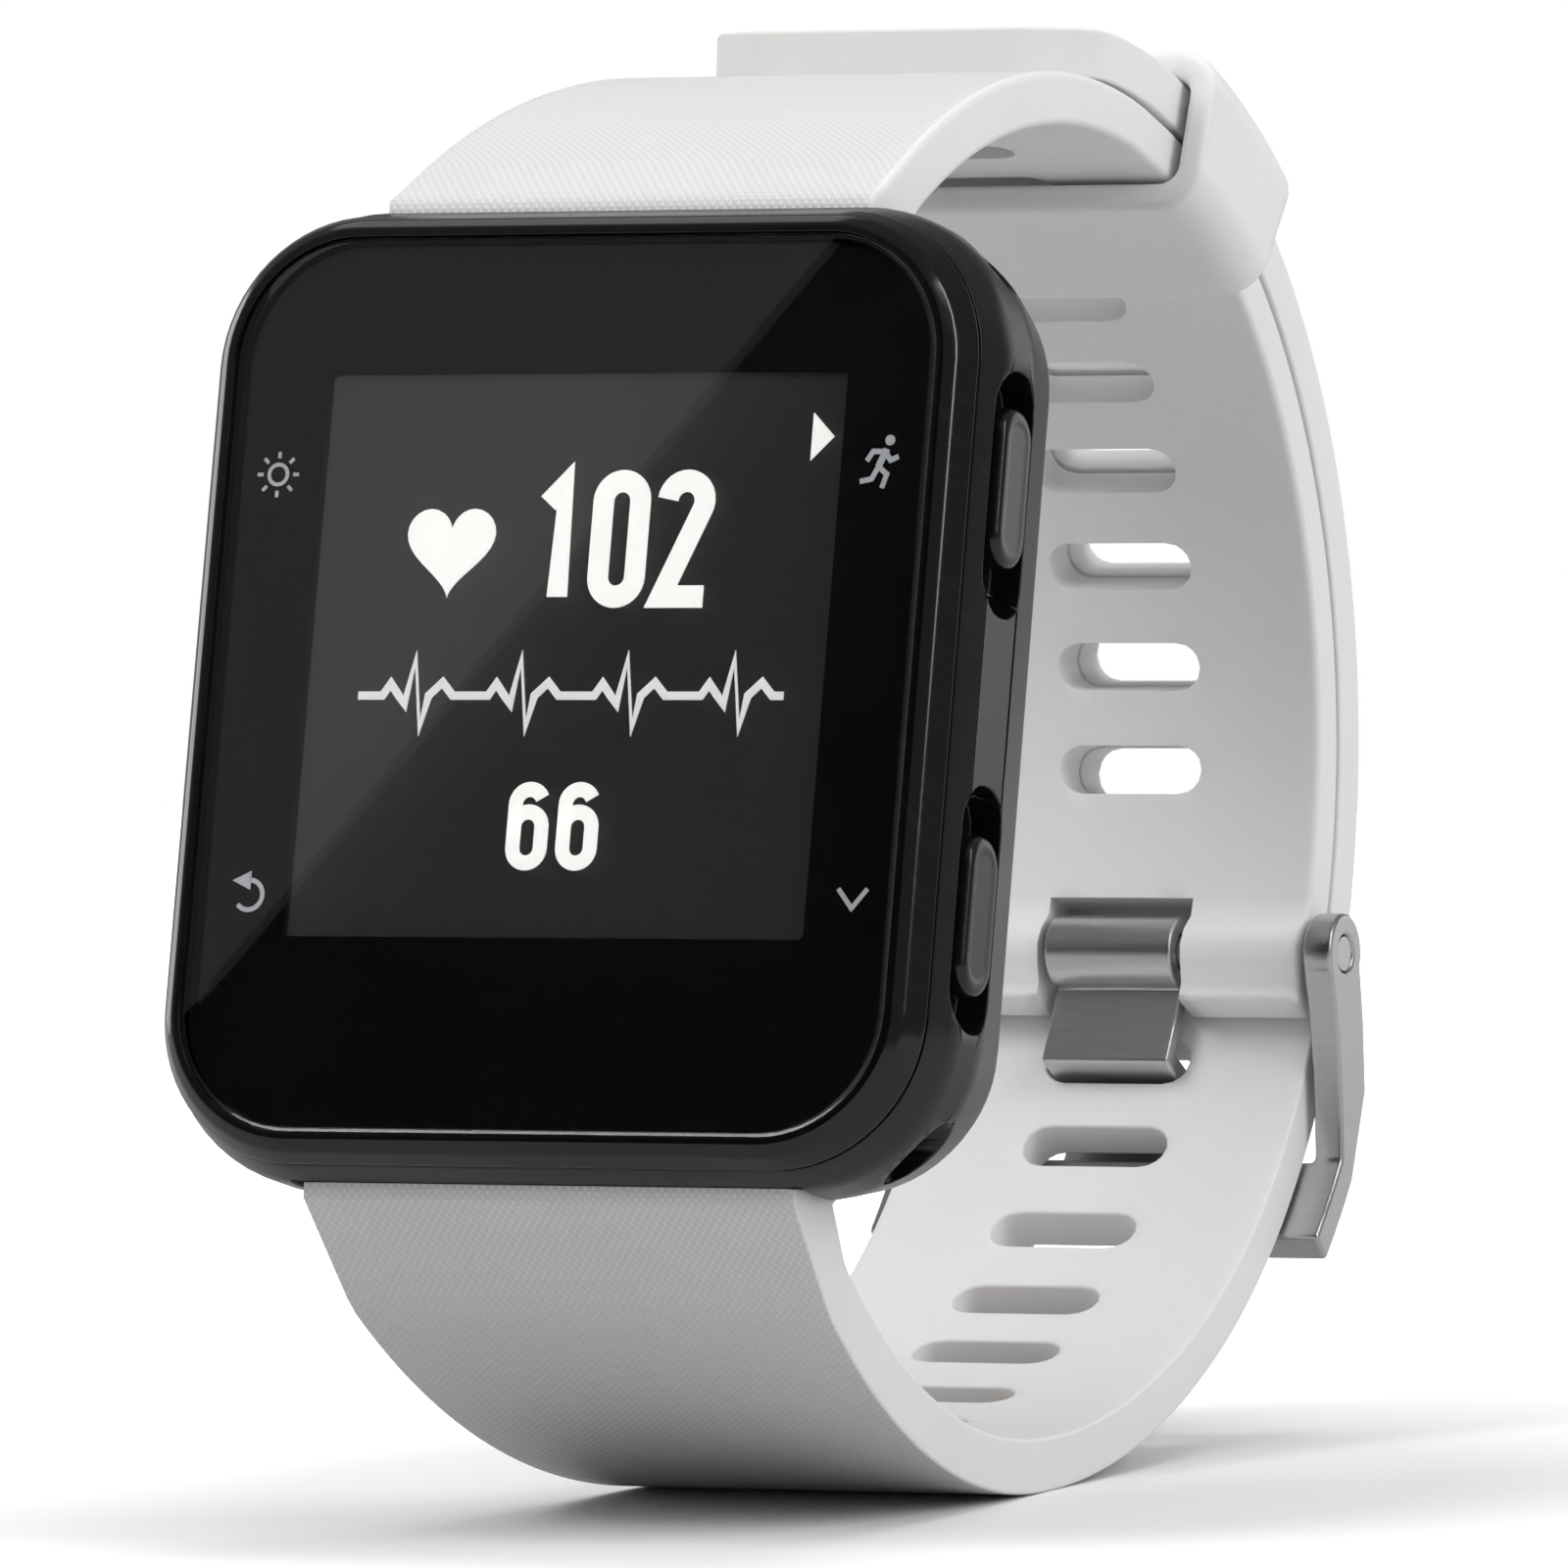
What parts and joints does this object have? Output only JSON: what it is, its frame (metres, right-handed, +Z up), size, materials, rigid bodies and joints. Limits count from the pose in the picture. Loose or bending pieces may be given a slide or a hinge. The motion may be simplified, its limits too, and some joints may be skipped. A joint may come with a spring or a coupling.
{
  "type": "gps running watch",
  "caption": "Square black sports watch with a flat glass face, side buttons and a white slotted silicone strap closed by a pin buckle.",
  "frame": {"origin": "centre of the bounding box at the surface that the closed strap stands on", "axes": "+Z up, the glass faces -Y and leans back, +X towards the 3 o'clock side"},
  "size_m": [0.0358, 0.0666, 0.0614],
  "materials": {
    "lens_glass": "polished, black printed border",
    "lens_adhesive": "matt foam tape",
    "gloss_black": "polished, moulded in black",
    "case_polymer": "fine satin grain, moulded in black",
    "display_glass": "reflective liquid crystal panel",
    "light_guide": "milky moulded sheet",
    "holder_plastic": "moulded",
    "flex_film": "amber film",
    "circuit_board": "solder mask",
    "shield_steel": "stamped",
    "antenna_ceramic": "matt",
    "battery_foil": "foil pouch",
    "switch_metal": "stamped",
    "steel": "turned",
    "button_polymer": "satin black",
    "seal_rubber": "matt",
    "diode_resin": "clear resin",
    "sensor_glass": "polished",
    "contact_gold": "gold plated",
    "white_silicone": "satin moulded silicone",
    "buckle_steel": "brushed stainless steel"
  },
  "bodies": {
    "head": {"front_lens": "lens_glass", "lens_seal": "lens_adhesive", "bezel": "gloss_black", "display_panel": "display_glass", "light_guide": "light_guide", "display_holder": "holder_plastic", "display_flex": "flex_film", "mid_case": "case_polymer", "main_board": "circuit_board", "board_shields": "shield_steel", "gps_antenna": "antenna_ceramic", "vibration_motor": "shield_steel", "battery": "battery_foil", "button_switches": "switch_metal", "button_bushings": "steel", "back_cover": "case_polymer", "back_seal": "seal_rubber", "case_screws": "steel", "sensor_board": "circuit_board", "sensor_diodes": "diode_resin", "sensor_flex": "flex_film", "sensor_window": "sensor_glass", "charging_contacts": "contact_gold", "upper_strap": "white_silicone", "lower_strap": "white_silicone", "strap_pins": "steel", "strap_pin_screws": "steel", "buckle_bar": "buckle_steel"},
    "button_light": {"button_light": "button_polymer", "light_clip": "steel"},
    "button_back": {"button_back": "button_polymer", "back_clip": "steel"},
    "button_run": {"button_run": "button_polymer", "run_clip": "steel"},
    "button_down": {"button_down": "button_polymer", "down_clip": "steel"},
    "buckle_frame": {"buckle_frame": "buckle_steel"},
    "buckle_tongue": {"buckle_tongue": "buckle_steel"},
    "strap_keeper": {"strap_keeper": "white_silicone"}
  },
  "joints": [
    {"name": "button_light_press", "type": "slide", "parent": "head", "child": "button_light", "axis": [1, 0, 0], "range_m": [0, 0.0006], "stiffness_N_per_m": 2500},
    {"name": "button_back_press", "type": "slide", "parent": "head", "child": "button_back", "axis": [1, 0, 0], "range_m": [0, 0.0006], "stiffness_N_per_m": 2500},
    {"name": "button_run_press", "type": "slide", "parent": "head", "child": "button_run", "axis": [-1, 0, 0], "range_m": [0, 0.0006], "stiffness_N_per_m": 2500},
    {"name": "button_down_press", "type": "slide", "parent": "head", "child": "button_down", "axis": [-1, 0, 0], "range_m": [0, 0.0006], "stiffness_N_per_m": 2500},
    {"name": "frame_hinge", "type": "hinge", "parent": "head", "child": "buckle_frame", "pos_m": [0, 0.02738, 0.02082], "axis": [1, 0, 0], "range_deg": [0, 7]},
    {"name": "tongue_hinge", "type": "hinge", "parent": "head", "child": "buckle_tongue", "pos_m": [0, 0.02738, 0.02082], "axis": [1, 0, 0], "range_deg": [0, 7]},
    {"name": "keeper_slide", "type": "hinge", "parent": "head", "child": "strap_keeper", "pos_m": [0, 0.00307, 0.03124], "axis": [1, 0, 0], "range_deg": [-50, 8]}
  ],
  "couplings": [
    {"joint": "tongue_hinge", "follows": "frame_hinge", "ratio": 1}
  ]
}
